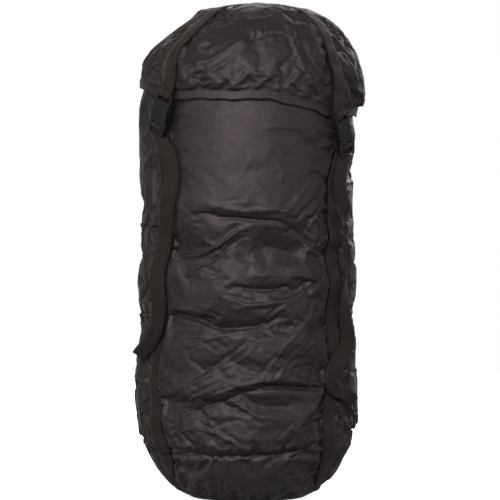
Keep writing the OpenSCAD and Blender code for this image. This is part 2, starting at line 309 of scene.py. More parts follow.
def ripstop(name, dark, light, rough):
    """Plain-woven nylon with a raised thread every 3.2 mm both ways, fine creases and a silky sheen."""
    mat, shader = new_material(name, light, rough)
    place = object_place(mat)
    threads = []
    for length in cloth_place(mat):
        cell = maths(mat, "PINGPONG", length, 0.0016)
        threads.append(stretched(mat, cell, 1.0, 0.0, 0.0, 0.00034))
    grid = maths(mat, "MAXIMUM", *threads)
    cloud = clouds(mat, place, 9.0, 4.0, {"Roughness": 0.6})
    crease = clouds(mat, place, 38.0, 5.0, {"Roughness": 0.62, "Distortion": 1.4})
    crinkle = clouds(mat, place, 17.0, 4.0, {"Roughness": 0.5, "Distortion": 0.2, "Offset": 0.9, "Gain": 1.3},
                     noise_type="RIDGED_MULTIFRACTAL")
    base = mixed(mat, stretched(mat, cloud, 0.1, 0.9), dark, light)
    thread_tint = tuple(c * 2.2 + 0.006 for c in light)
    folds = maths(mat, "ADD", maths(mat, "MULTIPLY", crease, 0.0014), maths(mat, "MULTIPLY", crinkle, 0.0006))
    height = maths(mat, "ADD", maths(mat, "MULTIPLY", grid, 0.00012), folds)
    feed(mat, shader, {
        "Base Color": mixed(mat, maths(mat, "MULTIPLY", grid, 0.6), base, thread_tint),
        "Roughness": stretched(mat, crease, rough - 0.04, rough + 0.06, 0.3, 0.7),
        "Normal": relief(mat, height, 0.6),
        "Sheen Weight": 0.16,
        "Sheen Roughness": 0.35,
        "Sheen Tint": (0.95, 0.80, 0.78, 1),
        "Specular IOR Level": 0.48,
        "Specular Tint": (1.0, 0.84, 0.84, 1),
    })
    return mat


def webbing_material(name, dark, light):
    """Flat nylon webbing: close ribs along it and a weave across it."""
    mat, shader = new_material(name, light, 0.72)
    across, along = cloth_place(mat)
    rib = maths(mat, "PINGPONG", across, 0.0011)
    zig = maths(mat, "ADD", along, maths(mat, "MULTIPLY", rib, 0.9))
    pick = maths(mat, "PINGPONG", zig, 0.0007)
    rib_share = maths(mat, "MULTIPLY", stretched(mat, rib, 0.0, 1.0, 0.0, 0.0011), 0.55)
    pick_share = maths(mat, "MULTIPLY", stretched(mat, pick, 0.0, 1.0, 0.0, 0.0007), 0.45)
    weave = maths(mat, "ADD", rib_share, pick_share)
    fuzz = clouds(mat, object_place(mat), 45.0, 5.0)
    shade = maths(mat, "MULTIPLY", weave, stretched(mat, fuzz, 0.5, 1.3))
    feed(mat, shader, {
        "Base Color": mixed(mat, shade, dark, light),
        "Normal": relief(mat, maths(mat, "MULTIPLY", weave, 0.0004), 0.9),
        "Sheen Weight": 0.12,
        "Sheen Roughness": 0.5,
        "Sheen Tint": (1.0, 0.82, 0.78, 1),
        "Specular IOR Level": 0.3,
        "Specular Tint": (1.0, 0.84, 0.80, 1),
    })
    return mat


def plastic(name, colour, rough, grain):
    """Moulded acetal with a fine spark-eroded grain."""
    mat, shader = new_material(name, colour, rough)
    place = object_place(mat)
    fine = clouds(mat, place, 1500.0, 2.0)
    broad = clouds(mat, place, 60.0, 3.0)
    feed(mat, shader, {
        "Base Color": mixed(mat, broad, tuple(c * 0.8 for c in colour), tuple(c * 1.25 for c in colour)),
        "Roughness": stretched(mat, broad, rough - 0.05, rough + 0.07),
        "Normal": relief(mat, maths(mat, "MULTIPLY", fine, grain), 0.6),
        "Specular IOR Level": 0.8,
    })
    return mat


def metal(name, colour, rough):
    mat, shader = new_material(name, colour, rough)
    scratch = clouds(mat, object_place(mat), 900.0, 3.0)
    feed(mat, shader, {"Metallic": 1.0, "Roughness": stretched(mat, scratch, rough - 0.1, rough + 0.15)})
    return mat


def cord_material(name, dark, light):
    """Braided cord: two crossing sets of yarns."""
    mat, shader = new_material(name, light, 0.75)
    across, along = cloth_place(mat)
    yarns = []
    for sign in (1.0, -1.0):
        slant = maths(mat, "ADD", across, maths(mat, "MULTIPLY", along, sign))
        yarns.append(maths(mat, "PINGPONG", slant, 0.0006))
    braid = stretched(mat, maths(mat, "MINIMUM", *yarns), 0.0, 1.0, 0.0, 0.0005)
    feed(mat, shader, {
        "Base Color": mixed(mat, braid, dark, light),
        "Normal": relief(mat, maths(mat, "MULTIPLY", braid, 0.0003), 1.0),
    })
    return mat


WALL_CLOTH = ripstop("ripstop_wall", (0.0074, 0.0053, 0.0055), (0.0136, 0.0101, 0.0103), 0.53)
LID_CLOTH = ripstop("ripstop_lid", (0.0070, 0.0051, 0.0052), (0.0128, 0.0096, 0.0098), 0.56)
# Ripstop for the bottom cap, base panel, base seam roll and mouth hem: partly the base panel's own lighter,
# browner tone and partly painted light. It is made about twice as light as the wall cloth to stand in for
# light that the lamps don't give the bottom of the sack.
BASE_CLOTH_TONE_AND_PAINTED_LIGHT = ripstop("ripstop_base_tone_and_painted_light", (0.0190, 0.0147, 0.0154), (0.0300, 0.0234, 0.0243), 0.56)
WEBBING = webbing_material("black_webbing", (0.0040, 0.0024, 0.0023), (0.0150, 0.0098, 0.0094))
THREAD = cord_material("black_thread", (0.008, 0.007, 0.007), (0.03, 0.027, 0.027))
BUCKLE = plastic("buckle_acetal", (0.0060, 0.0055, 0.0054), 0.2, 0.00001)
LOCK = plastic("cord_lock_nylon", (0.011, 0.011, 0.0115), 0.42, 0.00003)
CORD = cord_material("black_braid", (0.006, 0.0055, 0.0055), (0.024, 0.0215, 0.0215))
LACQUER = metal("black_lacquer", (0.10, 0.095, 0.09), 0.35)
STEEL = metal("spring_steel", (0.55, 0.54, 0.53), 0.3)


# ---------------------------------------------------------------- the sack's shape

WALL_R = 146.0
# (height, outer radius) from the floor to the top of the wall: at the sides and back, and down the front
SIDE_RADIUS = [
    (0, 77), (5, 85), (12, 96), (28, 112), (45, 123), (61, 133), (75, 141), (90, 145), (110, 148),
    (145, 149.5),
    (185, 147), (235, 145.5), (290, 146.5), (340, 143.5), (430, 143), (510, 142.5), (540, 141),
    (560, 139.5), (578, 134),
]
FRONT_RADIUS = [
    (0, 77), (5, 86), (12, 98), (28, 116), (45, 130), (62, 142), (90, 149), (110, 149.5), (130, 148),
    (150, 152),
    (180, 150), (215, 151.5), (233, 147.5), (250, 149.5), (275, 151), (300, 149), (322, 145.5), (350, 149),
    (370, 152.5), (385, 154), (430, 151.5), (480, 147.5), (530, 143), (560, 139.5), (578, 134),
]
WALL_TOP = 574
# (azimuth, height) of the seam between the bottom cap and the wall
SEAM = [(-180, 82), (-138, 86), (-90, 80), (-52, 71), (-25, 66), (5, 66), (25, 71), (45, 81), (70, 90),
        (100, 91), (138, 84)]
# (height, azimuth) of each side strap, from the floor up to its buckle
STRAP_LINES = {
    "front_left": [(0, -66), (20, -64), (37, -60.5), (57, -53), (70, -51.5), (89, -54.5), (109, -55.1),
                   (135, -55.6), (164, -57), (187, -56.5), (207, -53.7), (250, -52), (313, -51),
                   (357, -48), (402, -45.5), (440, -46.5), (466, -49.3), (500, -50.6)],
    "front_right": [(0, 70), (22, 63), (30, 58), (57, 50), (83, 46.5), (109, 46.4), (135, 46.7),
                    (170, 49.5), (187, 50.6), (415, 50.8), (440, 55), (462, 59.4), (480, 61)],
    "back_left": [(0, -131), (200, -132), (300, -130), (470, -130)],
    "back_right": [(0, 138), (300, 137), (475, 137)],
}
# How far each side strap is turned towards the front from lying square on the sack
STRAP_TURN = {"front_left": 20.0, "front_right": -10.0, "back_left": 0.0, "back_right": 0.0}
# Height at which each side strap ends, behind its buckle
STRAP_TOPS = {"front_left": 487, "front_right": 460, "back_left": 468, "back_right": 472}


def strap_azimuth(corner, z):
    return round_curve(STRAP_LINES[corner], z)


def strap_gap(corner, a, z):
    """Signed distance in millimetres round the sack from a side strap's middle."""
    return np.radians(turned(a - strap_azimuth(corner, z))) * WALL_R


def strap_distance(a, z):
    return np.minimum.reduce([np.abs(strap_gap(corner, a, z)) for corner in CORNERS])


def strap_turn(corner, z):
    return STRAP_TURN[corner] * smooth(z, 20, 75) * smooth(z, 520, 470)


def strap_set(a, z):
    """How far the straps move the cloth out: pressed in under each, and flat behind one that is turned."""
    total = 0
    for corner in CORNERS:
        d = strap_gap(corner, a, z)
        lean = -d * np.tan(np.radians(strap_turn(corner, z)))
        reach = np.where(lean < 0, 20.0, 36.0)
        total = total + lean * smooth(np.abs(d), reach, 10.5)
        total = total - (4.6 + 1.5 * bump(z, 250, 140)) * np.exp(-((d / 17) ** 2))
    return total


def smooth_radius(a, z):
    """The stuffed sack without its creases: full between the straps and drawn in along them."""
    a = turned(a)
    side = round_curve(SIDE_RADIUS, z)
    front = (round_curve(FRONT_RADIUS, z) - side) * np.exp(-((a / 43) ** 4))
    fullness = smooth(z, 20, 120) * smooth(z, 575, 430)
    back = bump(turned(a - 180), 0, 38) * 5.0
    left_swell = bump(a, -92, 27) * (1.5 * bump(z, 285, 40) + 1.5 * bump(z, 150, 50) - 2.4)
    right_swell = -5.2 * bump(a, 94, 30)
    return side + front + (back + left_swell + right_swell + strap_set(a, z)) * fullness


# ---------------------------------------------------------------- creases

class Fold:
    """A crease drawn on the side that faces an azimuth: a crest that falls away over `left` and `right`
    millimetres to each side of its line, as seen going from its first point to its last. A negative height
    is a valley."""

    def __init__(self, points, height, left=8.0, right=8.0, facing=0.0, ends=0.25):
        self.line = spline(points, 4.0)
        self.height, self.left, self.right = height, left, right
        self.facing, self.ends = facing, ends

    def heights(self, points):
        turn = math.radians(self.facing)
        across = points[:, 0] * math.cos(turn) + points[:, 1] * math.sin(turn)
        depth = points[:, 0] * math.sin(turn) - points[:, 1] * math.cos(turn)
        reach = 4 * max(self.left, self.right)
        low, high = self.line.min(0) - reach, self.line.max(0) + reach
        inside = np.nonzero((depth > 0) & (across > low[0]) & (across < high[0])
                            & (points[:, 2] > low[1]) & (points[:, 2] < high[1]))[0]
        out = np.zeros(len(points))
        if not len(inside):
            return out
        flat = np.stack([across[inside], points[inside, 2]], axis=1)
        start, step = self.line[:-1], np.diff(self.line, axis=0)
        length2 = (step**2).sum(1)
        best = np.full(len(flat), 1e9)
        signed = np.zeros(len(flat))
        place = np.zeros(len(flat))
        for k in range(len(start)):
            rel = flat - start[k]
            t = np.clip((rel @ step[k]) / length2[k], 0, 1)
            off = rel - t[:, None] * step[k]
            d = np.hypot(off[:, 0], off[:, 1])
            closer = d < best
            best[closer] = d[closer]
            cross = step[k][0] * rel[:, 1] - step[k][1] * rel[:, 0]
            signed[closer] = np.sign(cross[closer]) * d[closer]
            place[closer] = (k + t[closer]) / len(start)
        width = np.where(signed > 0, self.left, self.right)
        rounded = np.sqrt(best**2 + 0.5) - 0.7
        taper = smooth(place, 0, self.ends) * smooth(place, 1, 1 - self.ends)
        shape = np.exp(-((np.maximum(rounded, 0) / width) ** 1.2))
        out[inside] = self.height * shape * taper * smooth(depth[inside], 10, 60)
        return out


# Fold lines are (x, z); those on the front and the lid were placed after the photograph
FRONT_FOLDS = [
    # the belt of creases across the upper front, and the hollow under it
    Fold([(-89, 367), (-61, 379), (-23, 372), (15, 370), (43, 367), (68, 352), (88, 336)], -2.6, 3.5, 7),
    Fold([(-87, 386), (-50, 390), (-1, 382), (41, 383), (76, 367)], 1.8, 14, 7),
    Fold([(4, 332), (37, 334), (74, 318)], -7.0, 30, 26),
    Fold([(-91, 322), (-60, 326), (-36, 338), (-10, 356), (6, 362)], 5.0, 8, 13),
    Fold([(-81, 295), (-38, 316), (-7, 347)], 4.6, 5, 13),
    Fold([(-59, 309), (-28, 329), (-5, 352)], -1.8, 3, 4),
    Fold([(-5, 297), (35, 299), (76, 295), (104, 279)], 3.0, 9, 16),
    Fold([(-36, 274), (8, 260), (57, 268), (80, 281)], 2.6, 6, 12),
    Fold([(-30, 287), (18, 280), (57, 284)], -1.8, 5, 6),
    Fold([(63, 297), (72, 274), (76, 254)], 2.0, 3.5, 5),
    # creases that run in from the right strap, above the belt
    Fold([(44, 371), (63, 396), (78, 414), (92, 431)], 2.4, 3.5, 8),
    Fold([(59, 368), (80, 390), (94, 402)], -1.8, 4, 4),
    Fold([(76, 355), (90, 377), (102, 396)], 2.2, 4, 6),
    Fold([(82, 322), (93, 338), (104, 353)], 2.2, 5, 6),
    Fold([(70, 347), (80, 340), (92, 326)], -1.6, 4, 4),
    # soft dents in the upper front
    Fold([(10, 482), (33, 490), (63, 488), (84, 499)], 1.3, 8, 6),
    Fold([(28, 461), (49, 451), (70, 454)], -1.4, 8, 9),
    Fold([(-3, 438), (12, 432), (22, 443)], -1.2, 7, 7),
    Fold([(37, 444), (45, 428), (41, 413)], 1.2, 6, 6),
    Fold([(63, 477), (80, 470), (94, 474)], -1.3, 4, 5),
    Fold([(-85, 392), (-71, 380), (-61, 370)], -1.8, 3, 4),
    Fold([(-93, 414), (-87, 398), (-89, 378)], 1.6, 4, 5),
    # the long horizontal crease at mid height
    Fold([(-115, 249), (-69, 242), (-32, 232), (18, 235), (45, 245)], -3.0, 4, 3),
    Fold([(-111, 241), (-65, 233), (-30, 225), (22, 228)], 2.2, 4, 14),
    Fold([(-105, 259), (-65, 252), (-30, 242)], 2.4, 8, 4),
    Fold([(22, 237), (37, 251), (51, 260)], 1.8, 4, 5),
    # diagonals that sweep from the lower left to the upper right
    Fold([(-113, 195), (-57, 211), (-11, 224), (16, 233)], 2.2, 6, 12),
    Fold([(-111, 140), (-88, 150), (-36, 175), (-1, 195), (26, 226)], 3.6, 5, 15),
    Fold([(-95, 150), (-40, 183), (-7, 208), (10, 226)], -2.2, 6, 4),
    Fold([(11, 158), (29, 181), (57, 219), (86, 252)], 3.4, 5, 9),
    Fold([(26, 160), (49, 191), (72, 219)], -2.2, 4, 5),
    Fold([(43, 162), (68, 196), (90, 221)], 2.2, 5, 8),
    Fold([(-103, 117), (-45, 143), (-1, 158), (41, 164), (104, 156)], 4.4, 9, 5),
    Fold([(-97, 111), (-44, 134), (3, 150), (47, 155), (100, 149)], -3.6, 4, 6),
    Fold([(-99, 127), (-50, 154), (-15, 165)], -2.0, 4, 4),
    Fold([(-109, 169), (-69, 173), (-30, 187)], -1.6, 8, 6),
    # the lower front
    Fold([(-23, 137), (15, 118), (57, 115), (94, 127)], 3.0, 7, 10),
    Fold([(-11, 145), (20, 130), (59, 131)], -2.4, 5, 5),
    Fold([(-103, 93), (-57, 100), (-15, 85)], 2.4, 7, 9),
    Fold([(-111, 104), (-83, 110), (-50, 121)], -1.8, 6, 6),
    Fold([(39, 81), (49, 96), (65, 113)], 2.2, 4, 6),
    Fold([(47, 79), (59, 94), (74, 109)], -1.6, 4, 4),
    Fold([(-59, 88), (-30, 110), (4, 112)], -1.6, 8, 8),
    Fold([(80, 93), (86, 110), (100, 119)], 1.8, 4, 6),
]


def side_folds(seed, facing, count, low, high, half_width, lean):
    """Scattered creases on the side that faces an azimuth, most of them leaning the way lean says."""
    rng = np.random.default_rng(seed)
    made = []
    for _ in range(count):
        x, z = rng.uniform(-half_width, half_width), rng.uniform(low, high)
        tilt = math.radians(lean + rng.normal(0, 26))
        reach = rng.uniform(16, 62)
        bend = rng.uniform(-0.3, 0.3) * reach
        dx, dz = math.cos(tilt) * reach, math.sin(tilt) * reach
        points = [(x - dx, z - dz), (x - dz / reach * bend, z + dx / reach * bend), (x + dx, z + dz)]
        height = rng.choice([-1, 1]) * rng.uniform(1.0, 2.6)
        made.append(Fold(points, height, rng.uniform(3.5, 7), rng.uniform(6, 13), facing))
    return made


WALL_FOLDS = FRONT_FOLDS + (
    side_folds(3, -95, 26, 110, 500, 70, 25) + side_folds(4, 95, 26, 110, 500, 70, -22)
    + side_folds(5, 180, 30, 90, 500, 100, 18) + side_folds(8, 180, 12, 200, 420, 100, -35)
)


# ---------------------------------------------------------------- cloth

def resampled(grid, rows, columns):
    """A grid of vectors, wrapped round its columns, read smoothly at another number of rows and columns."""
    def weights(old, new, wrap):
        place = np.linspace(0, old if wrap else old - 1, new, endpoint=not wrap)
        k = np.minimum(place.astype(int), old - 1 if wrap else old - 2)
        t = place - k
        table = np.zeros((new, old))
        cubic = ((-t + 2 * t**2 - t**3) / 2, (2 - 5 * t**2 + 3 * t**3) / 2,
                 (t + 4 * t**2 - 3 * t**3) / 2, (t**3 - t**2) / 2)
        for step, share in enumerate(cubic):
            i = k + step - 1
            np.add.at(table, (np.arange(new), i % old if wrap else np.clip(i, 0, old - 1)), share)
        return table
    return np.einsum("ri,ijk,cj->rck", weights(grid.shape[0], rows, False), grid,
                     weights(grid.shape[1], columns, True), optimize=True)


def blurred(grid, row_width, column_width):
    def spread(n, width, wrap):
        gap = np.abs(np.subtract.outer(np.arange(n), np.arange(n)))
        table = np.exp(-((np.minimum(gap, n - gap) if wrap else gap) / width) ** 2)
        return table / table.sum(1, keepdims=True)
    return np.einsum("ri,ijk,cj->rck", spread(grid.shape[0], row_width, False), grid,
                     spread(grid.shape[1], column_width, True), optimize=True)


def settled(start, pinned, growth, frames, seed, flip):
    """How far each point of a slightly oversized cloth moves as it is blown into creases between its pinned
    points. start is a grid of points that wraps round its columns."""
    rows, around = start.shape[:2]
    faces = grid_faces(rows, around, True)
    flat = start.reshape(-1, 3)
    free = (~pinned).reshape(-1, 1)
    uneven = 0.4 * lumps(flat, 30, seed)[:, None] * unit_rows(flat * [1, 1, 0]) * free
    cloth = add_mesh("settling_cloth", flat + uneven, faces[:, ::-1] if flip else faces)
    held = cloth.vertex_groups.new(name="held")
    held.add([int(k) for k in np.nonzero(pinned.ravel())[0]], 1.0, "REPLACE")
    sim = cloth.modifiers.new("cloth", "CLOTH")
    rules = sim.settings
    rules.vertex_group_mass = "held"
    rules.shrink_min = -growth
    rules.quality = 6
    rules.mass = 0.15
    rules.tension_stiffness = rules.compression_stiffness = 15
    rules.shear_stiffness = 5
    rules.bending_stiffness = 0.15
    rules.air_damping = 4
    rules.tension_damping = rules.compression_damping = 5
    rules.use_pressure = True
    rules.uniform_pressure_force = 0.6
    rules.effector_weights.gravity = 0
    sim.collision_settings.use_collision = False
    sim.collision_settings.use_self_collision = False
    scene = bpy.context.scene
    before = scene.frame_start, scene.frame_end
    scene.frame_start, scene.frame_end = 1, frames
    sim.point_cache.frame_start, sim.point_cache.frame_end = 1, frames
    for step in range(1, frames + 1):
        scene.frame_set(step)
    result = cloth.evaluated_get(bpy.context.evaluated_depsgraph_get()).to_mesh()
    moved = np.zeros(len(flat) * 3)
    result.vertices.foreach_get("co", moved)
    bpy.data.objects.remove(cloth)
    scene.frame_start, scene.frame_end = before
    scene.frame_set(1)
    return moved.reshape(rows, around, 3) / MM - start


def creases(start, pinned, growth, frames, seed, limit, broad, flip=False):
    """The settled cloth's creases, sharpened: without most of its bulge, and no point moved past limit."""
    move = settled(start, pinned, growth, frames, seed, flip)
    rows = start.shape[0]
    ends = smooth(np.arange(rows) / rows, 0, 0.07) * smooth(np.arange(rows) / rows, 1, 0.93)
    move = move - 0.85 * blurred(move, *broad) * ends[:, None, None]
    move = move + 1.1 * (move - blurred(move, 2.4, 2.4))
    length = np.maximum(np.linalg.norm(move, axis=2, keepdims=True), 1e-6)
    return move * limit * np.tanh(length / limit) / length


# ---------------------------------------------------------------- walls and bottom

# Points round the wall and the bottom cap, and the radius at which the cap's cloth pattern is laid out
AROUND = 380
CAP_UV_R = 130.0


def seam_height(a):
    return ring_curve(SEAM, a) + 1.2 * np.sin(np.radians(a) * 9 + 1) + 0.7 * np.sin(np.radians(a) * 23)


def gather(a, away, seed):
    """Puckers that run away from a seam and die out over about 20 mm."""
    a = np.radians(a)
    wave = np.sin(a * 61 + 2.2 * np.sin(a * 7 + seed))
    wave = wave + 0.7 * np.sin(a * 97 + 1.7 * np.sin(a * 11 + seed * 2))
    uneven = 0.55 + 0.45 * np.sin(a * 5 + seed) * np.sin(a * 13)
    return wave * uneven * np.exp(-away / 9.0)


def strap_shelter(a, z):
    """0 under a side strap, where the webbing presses the cloth flat, to 1 away from it."""
    return smooth(strap_distance(a, z), 9, 15)


def grid_of(rows, around):
    """Azimuths and shares of the way down or up, for a grid stored row by row."""
    a = np.tile(np.linspace(-180, 180, around, endpoint=False), rows)
    t = np.repeat(np.linspace(0, 1, rows), around)
    return a, t


def close_under_lid(a, z, r):
    """The wall's radius kept inside the lid that covers its top."""
    covered = smooth(z, lid_edge(a) - 12, lid_edge(a) - 1)
    return r - covered * np.maximum(r - (144.8 - 1.5 * smooth(z, 535, 560)), 0)


def fix_wrap(obj, radius):
    """Carries the cloth pattern on across the line at the back where the azimuth starts again."""
    mesh = obj.data
    layer = mesh.uv_layers["cloth"].data
    uv = np.zeros(len(mesh.loops) * 2)
    layer.foreach_get("uv", uv)
    uv = uv.reshape(-1, 4, 2)
    turn = 2 * math.pi * radius * MM
    wide = (uv[:, :, 0].max(1) - uv[:, :, 0].min(1)) > turn / 2
    shift = (uv[:, :, 0] < 0) & wide[:, None]
    uv[:, :, 0] += shift * turn
    layer.foreach_set("uv", uv.ravel())


def wall_start(rows, around):
    """The stuffed wall with its drawn creases, before the cloth settles."""
    a, t = grid_of(rows, around)
    low = seam_height(a)
    z = low + (WALL_TOP - low) * t
    r = smooth_radius(a, z)
    at_rest = polar(a, r, z)
    shelter = strap_shelter(a, z)
    relief = sum(f.heights(at_rest) for f in WALL_FOLDS)
    relief = relief * shelter + np.where(relief < 0, relief * (1 - shelter) * 0.3, 0)
    relief += 1.2 * lumps(at_rest, 62, 2) * shelter
    return a, t, z, low, r + relief * smooth(z, WALL_TOP, WALL_TOP - 30)


def make_wall():
    rows, around = 160, 260
    a, t, z, low, r = wall_start(rows, around)
    pinned = ((t > 0.992) | (t < 0.008) | (strap_distance(a, z) < 8.2)).reshape(rows, around)
    start = polar(a, close_under_lid(a, z, r), z).reshape(rows, around, 3)
    move = creases(start, pinned, 0.05, 17, 77, 9.0, (13, 12))
    rows = 236
    a, _, z, low, r = wall_start(rows, AROUND)
    move = resampled(move, rows, AROUND).reshape(-1, 3)
    calm = 1 - 0.82 * np.exp(-((a / 46) ** 4)) * smooth(z, 376, 405)
    calm = calm * (1 - 0.8 * smooth(z, lid_edge(a) - 25, lid_edge(a)))
    calm = calm * (1 - 0.7 * bump(a, 12, 26) * bump(z, 332, 30))
    away = np.maximum(z - low, 0)
    shelter = strap_shelter(a, z)
    r = r + 0.9 * gather(a, away, 1) * shelter - 3.2 * np.exp(-away / 3.0) + 2.2 * bump(away, 7, 5)
    verts = polar(a, r, z) + move * calm[:, None]
    flat_r = np.hypot(verts[:, 0], verts[:, 1])
    kept = close_under_lid(a, verts[:, 2], flat_r)
    verts[:, :2] *= (kept / flat_r)[:, None]
    faces = grid_faces(rows, AROUND, True)
    uv = np.stack([np.radians(a) * WALL_R, z], axis=1)
    wall = add_mesh("side_wall_cloth", verts, faces, uv, WALL_CLOTH)
    fix_wrap(wall, WALL_R)
    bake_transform(wall)
    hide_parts(*[f"side_wall_{k}" for k in range(1, 6)])
    return BVHTree.FromPolygons(verts.tolist(), faces.tolist())


def bottom_start(rows, around):
    a, t = grid_of(rows, around)
    high = seam_height(a) + 2.5
    z = 0.8 + (high - 0.8) * t**1.25
    return a, t, z, high, smooth_radius(a, z)


def make_bottom():
    rows, around = 30, 220
    a, t, z, high, r = bottom_start(rows, around)
    pinned = ((t > 0.97) | (t < 0.03) | (strap_distance(a, z) < 8.2)).reshape(rows, around)
    move = creases(polar(a, r, z).reshape(rows, around, 3), pinned, 0.05, 14, 33, 7.0, (12, 12))
    rows = 56
    a, t, z, high, r = bottom_start(rows, AROUND)
    shelter = strap_shelter(a, z)
    away = np.maximum(high - z, 0)
    r = r + 1.0 * gather(a, away, 4) * shelter * smooth(t, 0, 0.3) - 2.8 * np.exp(-away / 3.0)
    r = r + 0.9 * gather(a, z * 0.7, 7) * smooth(t, 0, 0.15)
    verts = polar(a, r, z) + resampled(move, rows, AROUND).reshape(-1, 3) * smooth(t, 0, 0.1)[:, None]
    verts[:, 2] = np.maximum(verts[:, 2], 0.5)
    faces = grid_faces(rows, AROUND, True)
    uv = np.stack([np.radians(a) * CAP_UV_R, z * 1.3], axis=1)
    cap = add_mesh("bottom_cap_cloth", verts, faces, uv, BASE_CLOTH_TONE_AND_PAINTED_LIGHT)
    fix_wrap(cap, CAP_UV_R)
    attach(cap, "sack_bottom")
    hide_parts("bottom_cap")
    return BVHTree.FromPolygons(verts.tolist(), faces.tolist())


def make_base():
    """The round panel that the sack stands on, with its rolled seam."""
    rows, around = 26, 180
    a, t = grid_of(rows, around)
    t = 0.02 + 0.98 * t
    r = 76.8 * t
    puff = 0.35 * lumps(polar(a, r, 0 * r), 30, 9) * (1 - t) * t * 4
    z = 0.25 + np.abs(puff) + smooth(t, 0.975, 1) * 0.9
    verts = list(polar(a, r, z)) + [(0, 0, 0.25)]
    faces = [tuple(f) for f in grid_faces(rows, around, True)]
    centre = len(verts) - 1
    faces += [(centre, (k + 1) % around, k) for k in range(around)]
    uv = np.array(verts)[:, :2]
    panel = add_mesh("base_panel_cloth", verts, faces, uv, BASE_CLOTH_TONE_AND_PAINTED_LIGHT)
    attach(panel, "sack_bottom")
    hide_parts("base_panel")
    ring = np.linspace(-180, 180, 240, endpoint=False)
    rim_line = polar(ring, 77.2 + 0 * ring, 1.1)
    rim = tube_mesh("base_seam_roll", rim_line, 1.0, 8, BASE_CLOTH_TONE_AND_PAINTED_LIGHT, closed=True)
    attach(rim, "sack_bottom")


# ---------------------------------------------------------------- lid

# (radius, height) from the crown down to below the lid's lower edge
PROFILE = np.array([
    (0, 659.0), (26, 658.2), (45, 655.5), (60, 651.8), (75, 647.5), (88, 641.5), (100, 634), (112, 624.5),
    (123, 613), (131, 601), (137, 589), (141.5, 576), (145, 562), (147, 548), (147.8, 538), (147.6, 520),
    (147.4, 496),
])
PROFILE_LENGTH = lengths_along(PROFILE)
# (azimuth, height) of the lid's lower edge
LID_EDGE = [(-180, 536), (-135, 532), (-100, 550), (-75, 547), (-52, 531), (-37, 526.5), (-10, 525),
            (8, 524.5), (21, 519), (33, 513.5), (45, 505), (57, 506), (75, 509), (105, 514), (140, 528)]
LID_STRAP_AZ = {"front_left": -43.5, "front_right": 51.0, "back_left": -129.0, "back_right": 136.5}
# Height of the hem's stitching above the lid's edge
HEM = 12.5
# Length down the profile over which the lid's leaning shape sets in
SWELL_FROM, SWELL_FULL = 60, 110


def lid_edge(a):
    return ring_curve(LID_EDGE, a) + 0.8 * np.sin(np.radians(a) * 11) + 0.5 * np.sin(np.radians(a) * 29 + 2)


def lid_point(s):
    """Radius and height on the smooth lid; s is the length from the crown down its profile."""
    r = round_curve(list(zip(PROFILE_LENGTH, PROFILE[:, 0])), s)
    z = round_curve(list(zip(PROFILE_LENGTH, PROFILE[:, 1])), s)
    return r, z


def lid_length(z_edge):
    """Length down the profile at which the smooth lid reaches a height."""
    return np.interp(-z_edge, -PROFILE[:, 1], PROFILE_LENGTH)


LID_FOLDS = [
    # the pinch high on the front, with folds that run out from it
    Fold([(10, 601), (-9, 586), (-43, 561), (-82, 539)], 4.2, 5, 11, ends=0.15),
    Fold([(4, 607), (-23, 588), (-55, 571), (-89, 557)], 3.0, 9, 5, ends=0.2),
    Fold([(6, 599), (-21, 580), (-53, 561), (-84, 547)], -2.6, 3, 3, ends=0.2),
    Fold([(8, 601), (3, 617), (-1, 633)], 3.4, 4, 8, ends=0.3),
    Fold([(10, 602), (21, 610), (43, 612), (68, 596)], 2.6, 8, 5, ends=0.3),
    Fold([(11, 600), (15, 578), (13, 555)], -1.6, 8, 10, ends=0.3),
    Fold([(-8, 622), (-33, 625), (-60, 608)], -4.0, 14, 14, ends=0.3),
    Fold([(16, 624), (43, 625), (64, 613)], -3.2, 10, 12, ends=0.3),
    Fold([(-49, 632), (-72, 620), (-85, 602)], 2.4, 6, 6),
    Fold([(-29, 641), (-46, 623), (-54, 602)], 1.8, 5, 6),
    # long folds beside the right strap
    Fold([(62, 624), (70, 594), (85, 565), (100, 540)], -4.2, 5, 7, ends=0.15),
    Fold([(54, 619), (60, 590), (75, 559), (94, 532)], 3.0, 7, 5),
    Fold([(82, 610), (89, 588), (101, 562)], 2.2, 5, 4),
    Fold([(63, 560), (81, 539), (94, 525)], -2.6, 4, 5),
    Fold([(50, 552), (71, 535), (91, 521)], 2.0, 5, 6),
    # beside the left strap
    Fold([(-108, 602), (-95, 582), (-81, 569)], 2.2, 5, 6),
    Fold([(-81, 583), (-69, 566), (-83, 551)], -2.8, 6, 8),
    Fold([(-77, 595), (-63, 578), (-59, 562)], 2.4, 4, 6),
    Fold([(-122, 583), (-113, 565), (-108, 549)], 2.4, 4, 6),
    # the right shoulder
    Fold([(120, 596), (134, 573), (140, 549)], 2.4, 6, 6),
    Fold([(105, 553), (115, 540), (125, 531)], -2.4, 6, 6),
]


def lid_swell(a, z):
    """The lid isn't round: its right shoulder hangs out, its left shoulder and upper left are drawn in."""
    right = bump(turned(a - 86), 0, 34) * (7.5 * bump(z, 552, 30) - 3.0 * smooth(z, 530, 508))
    left = -3.5 * bump(turned(a + 90), 0, 30) * bump(z, 560, 30)
    crown = -15.0 * bump(turned(a + 90), 0, 46) * smooth(z, 574, 618) * smooth(z, 657, 636)
    return right + left + crown


def lid_lean(z):
    """How far the crown leans to the right."""
    return 11.0 * smooth(z, 580, 650)


def lid_beside(a, points):
    """Distance in millimetres from the nearest lid strap's middle."""
    flat_r = np.hypot(points[:, 0], points[:, 1])
    gaps = []
    for s in LID_STRAP_AZ.values():
        turn = np.radians(turned(a - s))
        gaps.append(np.where(np.cos(turn) > 0, np.abs(np.sin(turn)) * flat_r, 1e3))
    return np.minimum.reduce(gaps)


